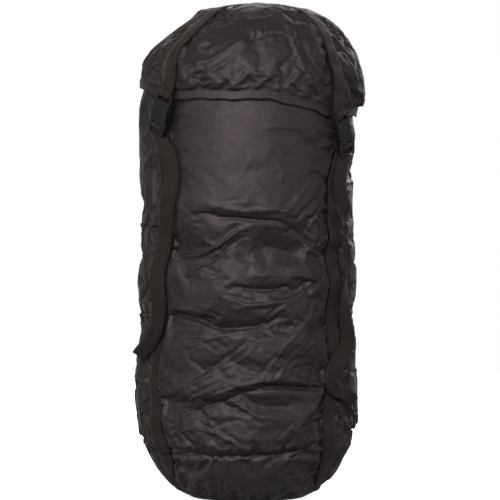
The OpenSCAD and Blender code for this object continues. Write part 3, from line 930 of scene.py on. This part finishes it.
def lid_start(rows, around):
    """The smooth lid with its drawn creases, before the cloth settles."""
    a, t = grid_of(rows, around)
    t = 0.06 + 0.94 * t
    total = lid_length(lid_edge(a))
    s = t * total
    r, z = lid_point(s)
    r = r + lid_swell(a, z) * smooth(s, SWELL_FROM, SWELL_FULL)
    at_rest = polar(a, r, z)
    beside = lid_beside(a, at_rest)
    at_rest[:, 0] += lid_lean(z)
    shelter = smooth(beside, 9, 15)
    relief = sum(f.heights(at_rest) for f in LID_FOLDS)
    for seed, facing, count, lean in ((31, -90, 14, 60), (32, 90, 14, -60), (33, 180, 20, 50)):
        relief += sum(f.heights(at_rest) for f in side_folds(seed, facing, count, 540, 640, 95, lean))
    relief += 1.4 * lumps(at_rest, 46, 41) + 3.0 * smooth(beside, 10, 40)
    edge_gap = (1 - t) * total
    relief = relief * shelter * (0.12 + 0.88 * smooth(edge_gap, 9, 34)) * smooth(t, 0.06, 0.14)
    r2, z2 = lid_point(s + 0.5)
    r1, z1 = lid_point(s - 0.5)
    slope = unit_rows(np.stack([r2 - r1, z2 - z1], axis=1))
    out = np.stack([-slope[:, 1], slope[:, 0]], axis=1)
    return a, t, s, edge_gap, beside, r + relief * out[:, 0], z + relief * out[:, 1], out


def make_lid():
    rows, around = 72, 210
    a, t, _, edge_gap, beside, r, z, _ = lid_start(rows, around)
    pinned = ((edge_gap < HEM + 1) | (t < 0.07) | (beside < 8.2)).reshape(rows, around)
    start = polar(a, r, z).reshape(rows, around, 3)
    move = creases(start, pinned, 0.045, 16, 55, 8.0, (12, 11), flip=True)
    rows, around = 112, 360
    a, _, s, edge_gap, _, r, z, out = lid_start(rows, around)
    hem = -0.9 * np.exp(-(((edge_gap - HEM) / 1.5) ** 2)) + 0.28 * gather(a, np.abs(edge_gap - HEM), 9)
    r = r + hem * out[:, 0]
    verts = polar(a, r, z + hem * out[:, 1]) + resampled(move, rows, around).reshape(-1, 3)
    flat_r = np.hypot(verts[:, 0], verts[:, 1])
    least = np.where(verts[:, 2] < 560, 146.2, 0)
    verts[:, :2] *= (np.maximum(flat_r, least) / flat_r)[:, None]
    uv = polar(a, s, 0 * s)[:, :2]
    crown = polar(a[:around], np.full(around, 5.0), np.full(around, PROFILE[0, 1]))
    verts = np.vstack([verts, crown, [[0, 0, PROFILE[0, 1]]]])
    verts[:, 0] += lid_lean(verts[:, 2])
    uv = np.vstack([uv, crown[:, :2], [[0, 0]]])
    first = rows * around
    faces = [tuple(f)[::-1] for f in grid_faces(rows, around, True)]
    faces += [(first + k, k, (k + 1) % around, first + (k + 1) % around) for k in range(around)]
    faces += [(first + around, first + k, first + (k + 1) % around) for k in range(around)]
    lid = add_mesh("lid_cloth", verts, faces, uv, LID_CLOTH)
    shell = lid.modifiers.new("thickness", "SOLIDIFY")
    shell.thickness = 0.7 * MM
    shell.offset = -1
    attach(lid, "lid")
    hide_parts("lid_shell", "lid_hem")
    return BVHTree.FromPolygons(verts.tolist(), [list(map(int, f)) for f in faces])


def on_lid(a, s):
    """A point on the smooth lid, and the way out."""
    s = np.abs(s)
    r, z = lid_point(s)
    r2, z2 = lid_point(s + 0.5)
    slope = unit_rows(np.stack([r2 - r, z2 - z], axis=1))
    place = polar(a, r + lid_swell(a, z) * smooth(s, SWELL_FROM, SWELL_FULL), z)
    place[:, 0] += lid_lean(z)
    return place, unit_rows(polar(a, -slope[:, 1], slope[:, 0]))


# ---------------------------------------------------------------- webbing

WEB_W, WEB_T = 20.0, 1.4
# Distance of a buckle's middle from the axis, and of its upper bar from where plug and socket meet
BUCKLE_R = 154.0
BAR_V = 33.0
BAR_Z = {"front_left": 532, "front_right": 507, "back_left": 515, "back_right": 517}
BUCKLE_LEAN = {"front_left": 21, "front_right": -17, "back_left": 7, "back_right": -6}
# Webbing through a plug as (outwards, up): behind both bars, over the middle one, back behind the bottom one
PLUG_WRAP = (
    [(-4.3, -26), (-4.3, -18), (-4.2, -12.5), (-3.5, -10.5)]
    + [(2.5 * math.cos(math.radians(k)), -9 + 2.5 * math.sin(math.radians(k))) for k in range(180, -31, -30)]
    + [(0.6, -12.2), (-1.8, -14), (-2.7, -16.2), (-2.75, -20)]
)
TAIL_R = 154.0
# Front free ends as (x, height, the azimuth that the webbing faces), about TAIL_R from the axis
TAILS = {
    "front_left": [
        (-113.5, 471, -40), (-107, 462, -26), (-101.5, 450, -12), (-98.2, 430, -6), (-97.4, 409, -10),
        (-99.4, 395, -14), (-101, 382, -12), (-104, 364, -16), (-107.5, 346, -18), (-110.5, 328, -14),
        (-114.2, 305, -10), (-114.6, 280, -8), (-115.2, 262, -14), (-118.3, 240, -20), (-121.5, 225, -24),
        (-130, 207, -26), (-140.5, 191, -30),
    ],
    "front_right": [
        (126, 446, 50), (122.5, 434, 42), (120.2, 416, 34), (122, 400, 20), (124.2, 388, 14),
        (124.8, 376, 50),
        (125, 364, 84), (126.5, 350, 96), (127.6, 337, 116), (128.6, 322, 118), (128.5, 308, 108),
        (128, 292, 84), (127.2, 276, 62), (127.2, 255, 46), (128.4, 238, 36), (130.6, 222, 26),
        (130.5, 209, 22), (124.5, 197, 26), (116, 186, 30), (109, 174, 32), (106.4, 163, 34),
        (109.5, 154, 36),
        (117.5, 147, 38), (127.5, 139.5, 42), (136.5, 129.5, 46),
    ],
}
# Back free ends as (azimuth, height, the azimuth that the webbing faces)
BACK_TAILS = {
    "back_left": [(-130.5, 448, -126), (-132, 420, -130), (-134, 370, -140), (-133, 310, -128),
                  (-130, 260, -122), (-128, 226, -130)],
    "back_right": [(137.5, 450, 134), (139, 420, 138), (138, 370, 130), (136, 320, 140), (137, 270, 150),
                   (140, 240, 142)],
}
# Height at which the webbing sewn down each corner of the bottom cap ends
BASE_STRAP_LOW = {"front_left": 33.0, "front_right": 22.0, "back_left": 6.0, "back_right": 6.0}
# Webbing round a buckle's bar as (outwards, up from the bar)
LID_LOOP = (
    [(2.2, 17), (1.6, 12), (1.5, 7), (2.4, 3.4)]
    + [(2.75 * math.cos(math.radians(k)), 2.75 * math.sin(math.radians(k))) for k in range(30, -211, -30)]
    + [(-1.6, 3.6), (-0.3, 7), (-0.1, 12), (-0.1, 15)]
)


def side_direction(a):
    a = np.radians(a)
    return np.stack([np.cos(a), np.sin(a), 0 * a], axis=-1)


def buckle_point(corner, side, out, up):
    """A point in a leaning buckle's own directions, measured from where its plug meets its socket."""
    lean, az = math.radians(BUCKLE_LEAN[corner]), math.radians(LID_STRAP_AZ[corner])
    rise = up - BAR_V
    x = side * math.cos(lean) + rise * math.sin(lean)
    y = -out - BUCKLE_R
    z = -side * math.sin(lean) + rise * math.cos(lean) + BAR_Z[corner]
    return np.array([x * math.cos(az) - y * math.sin(az), x * math.sin(az) + y * math.cos(az), z])


def buckle_side(corner):
    return buckle_point(corner, 1, 0, 0) - buckle_point(corner, 0, 0, 0)


def round_the_axis(points):
    """The horizontal way out from the sack's axis at each point."""
    return unit_rows(np.asarray(points, float) * [1, 1, 0])


def laid(trees, centre, across, ways, gap, loose=False):
    """The middle line of a strip moved along ways until its whole width clears the cloth by gap."""
    side = strip_axes(centre, across)[1]
    reach = 30.0
    need = np.full(len(centre), -reach)
    for k, (point, way) in enumerate(zip(centre, ways)):
        for w in (-1, -0.6, -0.2, 0.2, 0.6, 1):
            begin = Vector(point + side[k] * w * WEB_W / 2 + way * reach)
            for tree in trees:
                hit = tree.ray_cast(begin, Vector(-way), 2 * reach)
                if hit[0] is not None:
                    need[k] = max(need[k], reach - hit[3])
    need = need + gap
    if loose:
        need = np.maximum(need, 0)
    spaced = np.linalg.norm(np.diff(centre, axis=0), axis=1).mean()
    span = max(1, round(5 / spaced))
    padded = np.pad(need, span, mode="edge")
    need = np.max([padded[k:k + len(need)] for k in range(2 * span + 1)], axis=0)
    gaps = np.abs(np.subtract.outer(np.arange(len(need)), np.arange(len(need)))) * spaced
    weight = np.exp(-((gaps / 6) ** 2))
    need = weight @ need / weight.sum(1)
    return centre + ways * need[:, None]


def make_side_strap(corner, cloth):
    """The pulled side of a strap, from under the bottom seam up to its buckle, and the spare webbing that
    shows below the buckle when it is lifted."""
    top = STRAP_TOPS[corner]
    foot = float(seam_height(strap_azimuth(corner, 80))) - 5
    z = np.linspace(foot, top, 150)
    a = strap_azimuth(corner, z)
    facing = a + strap_turn(corner, z)
    start = polar(a, smooth_radius(a, z), z)
    behind = 3.0 * smooth(z, top - 135, top - 112)
    line = laid(cloth, start, side_direction(facing), round_the_axis(start), WEB_T / 2 + 0.25)
    run = line + round_the_axis(start) * behind[:, None]
    across = side_direction(facing)
    strap = ribbon_mesh(f"side_strap_web_{corner}", run, across, WEB_W, WEB_T, WEBBING)
    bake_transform(strap)
    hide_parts(f"side_strap_{corner}")
    spare = z > top - 108
    path = line[spare] + round_the_axis(start)[spare] * 1.4
    follower = ribbon_mesh(f"strap_spare_web_{corner}", path, across[spare], WEB_W - 1.2, 1.0, WEBBING)
    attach(follower, f"plug_{corner}")


def make_base_strap(corner, cloth):
    """The webbing sewn down the bottom cap, below a side strap."""
    top = float(seam_height(strap_azimuth(corner, 80))) + 1
    z = np.linspace(BASE_STRAP_LOW[corner], top, 60)
    a = strap_azimuth(corner, z)
    across = side_direction(a + strap_turn(corner, z) * 0.8)
    start = polar(a, smooth_radius(a, z), z)
    line = laid(cloth, start, across, round_the_axis(start), WEB_T / 2 + 0.2)
    strap = ribbon_mesh(f"base_strap_web_{corner}", line, across, WEB_W, WEB_T, WEBBING)
    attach(strap, "sack_bottom")
    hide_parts(f"base_strap_{corner}")


def make_tail(corner, cloth):
    """The webbing through a plug's two bars and the free end that hangs from it."""
    if corner in TAILS:
        route = spline([(x, -math.sqrt(TAIL_R**2 - x * x), z, facing) for x, z, facing in TAILS[corner]], 3.0)
        hang, facing = route[:, :3], route[:, 3]
    else:
        route = spline(BACK_TAILS[corner], 3.0)
        hang, facing = polar(route[:, 0], TAIL_R - 1.0, route[:, 1]), route[:, 2]
    across = side_direction(facing)
    hang = laid(cloth, hang, across, round_the_axis(hang), WEB_T / 2 + 2.6, loose=True)
    wrap = np.array([buckle_point(corner, 0, out, up) for out, up in PLUG_WRAP])
    sides = np.tile(buckle_side(corner), (len(wrap), 1))
    joined = spline(np.vstack([np.hstack([wrap, sides]), np.hstack([hang, across])[3:]]), 1.6)
    tail = ribbon_mesh(f"strap_tail_web_{corner}", joined[:, :3], joined[:, 3:], WEB_W, WEB_T, WEBBING)
    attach(tail, f"plug_{corner}")
    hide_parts(f"strap_tail_{corner}")


def make_lid_strap(name, first, second, lift, cloth):
    """A strap over the crown between two corners, looped and sewn round a buckle's bar at both ends."""
    halves = []
    for corner, sign in ((first, -1), (second, 1)):
        end = float(lid_length(BAR_Z[corner] + 30.0))
        s = np.linspace(0 if sign > 0 else 1.6, end, 100)
        a = np.full(len(s), LID_STRAP_AZ[corner])
        p, way = on_lid(a, s)
        side = side_direction(a)
        p = laid(cloth, p, side, way, WEB_T / 2 + 0.3)
        p = p + way * (lift * bump(s, 0, 20))[:, None]
        end_points = np.array([buckle_point(corner, 0, out, BAR_V + up) for out, up in LID_LOOP])
        sides = np.vstack([side, np.tile(buckle_side(corner), (len(LID_LOOP), 1))])
        path = np.hstack([np.vstack([p, end_points]), sides])
        if sign < 0:
            path = path[::-1]
            path[:, 3:] *= -1
        halves.append(path)
    even = spline(np.vstack(halves), 1.5)
    strap = ribbon_mesh(f"{name}_web", even[:, :3], even[:, 3:], WEB_W, WEB_T, WEBBING)
    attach(strap, "lid")
    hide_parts(name)


# ---------------------------------------------------------------- drawn mouth

EYELET_Z = 575.0
CORD_R = 130.0
LOCK_Y = 120.0
LOCK_Z = 537.6
STRAND_X = 1.8


def make_mouth():
    """The gathered hem that the drawcord runs in."""
    rows, around = 20, 380
    a, _ = grid_of(rows, around)
    turn = np.repeat(np.linspace(0, 2 * math.pi, rows, endpoint=False), around)
    pleat = gather(a, 0 * a, 12)
    width = 4.7 + 0.55 * pleat
    height = 7.2 + 0.35 * pleat
    verts = polar(a, CORD_R + width * np.cos(turn), EYELET_Z + height * np.sin(turn))
    at_eyelet = (np.abs(verts[:, 0]) < 6.2) & (verts[:, 1] > 0) & (np.cos(turn) < 0)
    faces = [f[::-1] for f in ring_faces(rows, around) if not all(at_eyelet[list(f)])]
    uv = np.stack([np.radians(a) * CORD_R, turn * 6], axis=1)
    hem = add_mesh("mouth_hem_cloth", verts, faces, uv, BASE_CLOTH_TONE_AND_PAINTED_LIGHT)
    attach(hem, "mouth")
    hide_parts("mouth_hem")


def make_drawcord():
    """The cord round the mouth, through the eyelet and down through the cord lock to its knot."""
    half = [(0, 0, -44), (0, 0, -34), (0, 0, -22), (0, 0.3, -13), (0, 1.5, -6.5), (0.2, 4.2, -2),
            (0.9, 7.2, -0.3)]
    half = [(STRAND_X + x, LOCK_Y + y, EYELET_Z + z) for x, y, z in half]
    half += [(4.6, CORD_R - 1.3, EYELET_Z), (9, CORD_R - 0.5, EYELET_Z)]
    round_mouth = np.radians(np.arange(7, 178, 6.5))
    half += [(CORD_R * math.sin(t), CORD_R * math.cos(t), EYELET_Z) for t in round_mouth]
    half.append((0, -CORD_R, EYELET_Z))
    route = half + [(-x, y, z) for x, y, z in reversed(half[:-1])]
    cord = tube_mesh("drawcord_braid", spline(route, 2.5), 1.45, 10, CORD)
    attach(cord, "mouth")
    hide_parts("drawcord")
    turn = np.linspace(0, 2 * math.pi, 90, endpoint=False)
    knot = np.stack([
        1.25 * (np.sin(turn) + 2 * np.sin(2 * turn)),
        LOCK_Y + 0.95 * (np.cos(turn) - 2 * np.cos(2 * turn)),
        EYELET_Z - 47.6 + 1.5 * np.sin(3 * turn),
    ], axis=1)
    end = tube_mesh("cord_end_knot_braid", knot, 1.55, 10, CORD, closed=True)
    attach(end, "mouth")
    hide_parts("cord_end_knot")


def make_spring():
    """The coil behind the plunger, running from the barrel's closed end."""
    wire, coil, length, turns, closed_end = 0.35, 3.2, 6.1, 4, -11.6
    turn = np.linspace(0, 2 * math.pi * turns, 97)
    x = closed_end + wire + (length - 2 * wire) * turn / turn[-1]
    path = np.stack([x, LOCK_Y + coil * np.cos(turn), LOCK_Z + coil * np.sin(turn)], axis=1)
    spring = tube_mesh("cord_lock_spring_coil", path, wire, 8, STEEL)
    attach(spring, "cord_lock")
    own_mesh(spring)
    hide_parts("cord_lock_spring")


# ---------------------------------------------------------------- stitching

def stitch_mesh(name, runs, pitch, length, thick, body):
    """Rows of single stitches: each run is (points, ways out), and a stitch is a short spindle along it."""
    verts, faces = [], []
    sides = 5
    spindle = rod_faces(4, sides)
    for points, ways in runs:
        data = np.hstack([points, ways])
        along = lengths_along(points)
        for mark in np.arange(pitch / 2, along[-1], pitch):
            faces += [tuple(len(verts) + k for k in face) for face in spindle]
            for share, size in ((-0.5, 0.45), (-0.2, 1.0), (0.2, 1.0), (0.5, 0.45)):
                at = mark + share * length
                here, ahead = (
                    np.array([np.interp(d, along, column) for column in data.T]) for d in (at, at + 0.2)
                )
                run = unit_rows(ahead[:3] - here[:3] + 1e-9)
                out = unit_rows(here[3:])
                side = np.cross(run, out)
                half = thick * 0.5 * size
                for t in np.linspace(0, 2 * math.pi, sides, endpoint=False):
                    lift = out * (math.cos(t) * half - (0.2 if size < 1 else 0))
                    verts.append(here[:3] + lift + side * (math.sin(t) * half))
    obj = add_mesh(name, verts, faces, np.zeros((len(verts), 2)), THREAD)
    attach(obj, body)


def on_cloth(tree, points, ways):
    """Points moved along their ways to just outside the cloth; those that meet none are left out."""
    kept = []
    for p, way in zip(points, ways):
        hit = tree.ray_cast(Vector(p + way * 25), Vector(-way), 50)
        if hit[0] is not None:
            kept.append(np.concatenate([np.array(hit[0]) + way * 0.15, way]))
    kept = np.array(kept)
    return kept[:, :3], kept[:, 3:]


def make_stitching(bottom, lid):
    a = np.linspace(-180, 180, 720)
    runs = []
    for height in (HEM - 1.2, HEM + 1.4):
        points = polar(a, 149.0, lid_edge(a) + height)
        runs.append(on_cloth(lid, points, round_the_axis(points)))
    stitch_mesh("lid_hem_stitches", runs, 3.0, 2.3, 0.55, "lid")
    z = seam_height(a) - 3.6
    points = polar(a, smooth_radius(a, z), z)
    runs = [on_cloth(bottom, points, round_the_axis(points))]
    stitch_mesh("bottom_seam_stitches", runs, 3.0, 2.3, 0.55, "sack_bottom")


def make_bar_tacks():
    """Dense rows of stitches that close each lid strap's loop."""
    for corner in CORNERS:
        side = buckle_side(corner)
        way = buckle_point(corner, 0, 1, 0) - buckle_point(corner, 0, 0, 0)
        runs = []
        for level in (7.5, 8.3, 9.1, 13.0, 13.8):
            centre = buckle_point(corner, 0, 1.55 + WEB_T / 2 + 0.05, BAR_V + level)
            points = centre + np.linspace(-8, 8, 9)[:, None] * side
            runs.append((points, np.tile(way, (9, 1))))
        stitch_mesh(f"bar_tack_{corner}", runs, 1.3, 1.15, 0.6, "lid")


# ---------------------------------------------------------------- making it all

def dress(names, material, bevel):
    """A CAD node keeps its shape, gets a fine edge radius and its own material."""
    for name in names:
        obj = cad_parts[name]
        obj.data.materials.clear()
        obj.data.materials.append(material)
        if bevel:
            edge = obj.modifiers.new("edge", "BEVEL")
            edge.width = bevel * MM
            edge.segments = 2
            edge.limit_method = "ANGLE"
            edge.angle_limit = math.radians(35)
            edge.harden_normals = False
        for face in obj.data.polygons:
            face.use_smooth = False


wall_tree = make_wall()
bottom_tree = make_bottom()
make_base()
lid_tree = make_lid()
for corner in CORNERS:
    for make in (make_side_strap, make_base_strap, make_tail):
        make(corner, [wall_tree, bottom_tree])
make_lid_strap("lid_strap_a", "front_left", "back_right", 0.0, [lid_tree])
make_lid_strap("lid_strap_b", "front_right", "back_left", 2.6, [lid_tree])
make_mouth()
make_drawcord()
make_spring()
make_stitching(bottom_tree, lid_tree)
make_bar_tacks()
dress([f"buckle_socket_{c}" for c in CORNERS] + [f"buckle_plug_{c}" for c in CORNERS]
      + [f"latch_arm_{s}_{c}" for s in "lr" for c in CORNERS], BUCKLE, 0.35)
dress(["cord_lock_barrel", "cord_lock_plunger"], LOCK, 0.3)
dress(["cord_eyelet"], LACQUER, 0)


# ---------------------------------------------------------------- studio

def make_stage():
    """A plain pale floor, bright to the camera, that adds no light to the sack."""
    reach = 3000.0
    corners = [(x * reach, y * reach, -0.2) for x, y in ((-1, -1), (1, -1), (1, 1), (-1, 1))]
    mat, shader = new_material("pale_floor", (0.9, 0.9, 0.9), 0.9)
    paper = node(mat, "ShaderNodeTexNoise", {"Scale": 3.0}).outputs[0]
    feed(mat, shader, {
        "Base Color": mixed(mat, paper, (0.88, 0.88, 0.88), (0.92, 0.92, 0.92)),
        "Emission Color": (1, 1, 1, 1),
        "Emission Strength": 0.86,
    })
    floor = add_mesh("pale_floor", corners, [(0, 1, 2, 3)], None, mat)
    floor.visible_diffuse = False
    floor.visible_glossy = False


def make_world():
    """White behind the object, and a dim even light on it."""
    world = bpy.data.worlds.new("studio")
    world.use_nodes = True
    tree = world.node_tree
    seen = tree.nodes.new("ShaderNodeLightPath").outputs["Is Camera Ray"]
    light = tree.nodes.new("ShaderNodeMapRange")
    light.inputs[3].default_value = 0.17
    light.inputs[4].default_value = 1.0
    tree.links.new(seen, light.inputs[0])
    tree.nodes["Background"].inputs[0].default_value = (1, 1, 1, 1)
    tree.links.new(light.outputs[0], tree.nodes["Background"].inputs[1])
    bpy.context.scene.world = world


def area_light(name, place, aim, size, power):
    data = bpy.data.lights.new(name, "AREA")
    data.shape = "RECTANGLE"
    data.size, data.size_y = size
    data.energy = power
    light = placed(name, data)
    light.location = place
    light.rotation_euler = (Vector(aim) - Vector(place)).to_track_quat("-Z", "Y").to_euler()


CAMERA_AWAY_M = 3.0
VIEW_WIDTH_M = 0.675


def make_camera():
    data = bpy.data.cameras.new("camera")
    data.sensor_width = 36
    data.lens = data.sensor_width * CAMERA_AWAY_M / VIEW_WIDTH_M
    camera = placed("camera", data)
    camera.location = (0.0027, -CAMERA_AWAY_M, 0.331)
    camera.rotation_euler = (math.radians(90), 0, 0)
    bpy.context.scene.camera = camera


make_stage()
area_light("key", (-0.5, -2.4, 1.65), (0, 0, 0.46), (1.8, 1.0), 66)
area_light("side_left", (-1.9, -1.0, 0.6), (0, 0, 0.3), (1.0, 1.4), 9)
area_light("side_right", (1.9, -1.0, 0.6), (0, 0, 0.3), (1.0, 1.4), 8)
area_light("low_front", (0.3, -2.3, 0.12), (0, 0, 0.06), (1.4, 0.2), 3)
area_light("back", (0.5, 2.3, 1.5), (0, 0, 0.36), (2.8, 1.7), 48)
make_camera()
make_world()
bpy.context.scene.view_settings.view_transform = "Standard"
